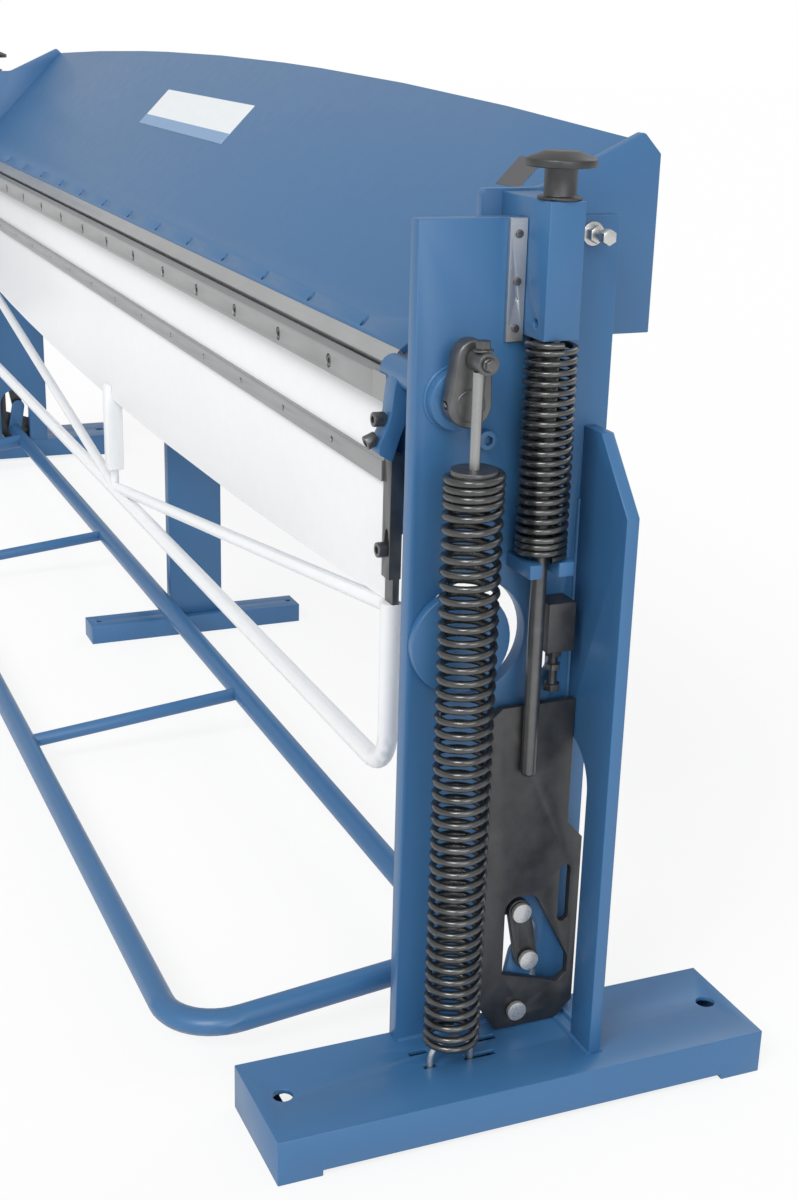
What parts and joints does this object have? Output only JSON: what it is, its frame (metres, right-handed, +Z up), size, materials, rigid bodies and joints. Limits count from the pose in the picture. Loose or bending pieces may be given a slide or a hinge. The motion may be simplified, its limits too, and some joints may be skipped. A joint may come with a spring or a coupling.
{
  "type": "manual sheet metal folding machine",
  "caption": "Manual sheet metal folder with end stands, swinging bending beam on a truss, spring-balanced clamp beam and foot pedal with knee toggle.",
  "frame": {"origin": "floor level, midway between the end stands and midway between the pedal bar's front face and the middle foot's rear end", "axes": "+X along the machine, +Y away from the operator, +Z up"},
  "size_m": [3.812, 0.7799, 1.2655],
  "materials": {
    "blue_paint": "semi-gloss blue machine enamel",
    "white_paint": "semi-gloss white enamel",
    "bright_steel": "ground bright steel",
    "black_steel": "black-oxide steel",
    "spring_steel": "oiled dark spring steel"
  },
  "bodies": {
    "stand": {"end_foot_right": "blue_paint", "end_foot_left": "blue_paint", "upright_right": "blue_paint", "upright_left": "blue_paint", "rear_rib_right": "blue_paint", "rear_rib_left": "blue_paint", "hub_discs": "blue_paint", "spring_seats": "blue_paint", "guide_strips": "bright_steel", "stop_blocks": "black_steel", "middle_foot": "blue_paint", "middle_column": "blue_paint", "beam_front_web": "blue_paint", "beam_rear_web": "blue_paint", "beam_bottom_plate": "blue_paint", "table_plate": "bright_steel", "table_blade": "bright_steel", "lift_springs": "spring_steel"},
    "bending_beam": {"bending_plate": "white_paint", "bending_blade": "bright_steel", "bending_strip": "bright_steel", "bending_brackets": "blue_paint", "end_bars": "black_steel", "truss_tube": "white_paint", "truss_diagonals": "white_paint", "truss_post": "white_paint", "pivot_cranks": "black_steel"},
    "clamp_beam": {"clamp_plate": "blue_paint", "clamp_blade": "bright_steel", "clamp_base_plate": "blue_paint", "clamp_rear_web": "blue_paint", "clamp_end_plates": "blue_paint", "slider_blocks": "blue_paint", "clamp_rods": "black_steel", "knobs": "black_steel", "toggle_plate_right": "black_steel", "toggle_plate_left": "black_steel"},
    "pedal": {"pedal_tube": "blue_paint", "pedal_bar": "blue_paint", "pedal_rungs": "blue_paint", "pedal_cranks": "blue_paint"},
    "link_right": {"toggle_link_right": "black_steel"},
    "eye_right": {"eye_rod_right": "black_steel"},
    "spring_right": {"balance_spring_right": "spring_steel", "spring_hook_right": "bright_steel"},
    "link_left": {"toggle_link_left": "black_steel"},
    "eye_left": {"eye_rod_left": "black_steel"},
    "spring_left": {"balance_spring_left": "spring_steel", "spring_hook_left": "bright_steel"}
  },
  "joints": [
    {"name": "bending_swing", "type": "hinge", "parent": "stand", "child": "bending_beam", "pos_m": [0, -0.058, 0.938], "axis": [-1, 0, 0], "range_deg": [0, 120]},
    {"name": "clamp_lift", "type": "slide", "parent": "stand", "child": "clamp_beam", "axis": [0, 0, 1], "range_m": [0, 0.01], "deforming": ["lift_springs"]},
    {"name": "pedal_swing", "type": "hinge", "parent": "clamp_beam", "child": "pedal", "pos_m": [0, 0.055, 0.092], "axis": [-1, 0, 0], "range_deg": [0, 12.7]},
    {"name": "link_swing_right", "type": "hinge", "parent": "stand", "child": "link_right", "pos_m": [1.7715, 0.055, 0.242], "axis": [1, 0, 0], "range_deg": [0, 13.1]},
    {"name": "eye_swing_right", "type": "hinge", "parent": "bending_beam", "child": "eye_right", "pos_m": [1.82, -0.055, 0.993], "axis": [-1, 0, 0], "range_deg": [-117.2, 0]},
    {"name": "spring_tilt_right", "type": "hinge", "parent": "stand", "child": "spring_right", "pos_m": [1.82, -0.06, 0.05], "axis": [-1, 0, 0], "range_deg": [0, 2.95], "deforming": ["balance_spring_right"]},
    {"name": "link_swing_left", "type": "hinge", "parent": "stand", "child": "link_left", "pos_m": [-1.7715, 0.055, 0.242], "axis": [1, 0, 0], "range_deg": [0, 13.1]},
    {"name": "eye_swing_left", "type": "hinge", "parent": "bending_beam", "child": "eye_left", "pos_m": [-1.82, -0.055, 0.993], "axis": [-1, 0, 0], "range_deg": [-117.2, 0]},
    {"name": "spring_tilt_left", "type": "hinge", "parent": "stand", "child": "spring_left", "pos_m": [-1.82, -0.06, 0.05], "axis": [-1, 0, 0], "range_deg": [0, 2.95], "deforming": ["balance_spring_left"]}
  ],
  "couplings": [
    {"joint": "pedal_swing", "follows": "clamp_lift", "rad_per_m": 22.137},
    {"joint": "link_swing_right", "follows": "clamp_lift", "rad_per_m": 22.773},
    {"joint": "eye_swing_right", "follows": "bending_swing", "ratio": -0.97577},
    {"joint": "spring_tilt_right", "follows": "bending_swing", "ratio": 0.024227},
    {"joint": "link_swing_left", "follows": "clamp_lift", "rad_per_m": 22.773},
    {"joint": "eye_swing_left", "follows": "bending_swing", "ratio": -0.97577},
    {"joint": "spring_tilt_left", "follows": "bending_swing", "ratio": 0.024227}
  ]
}
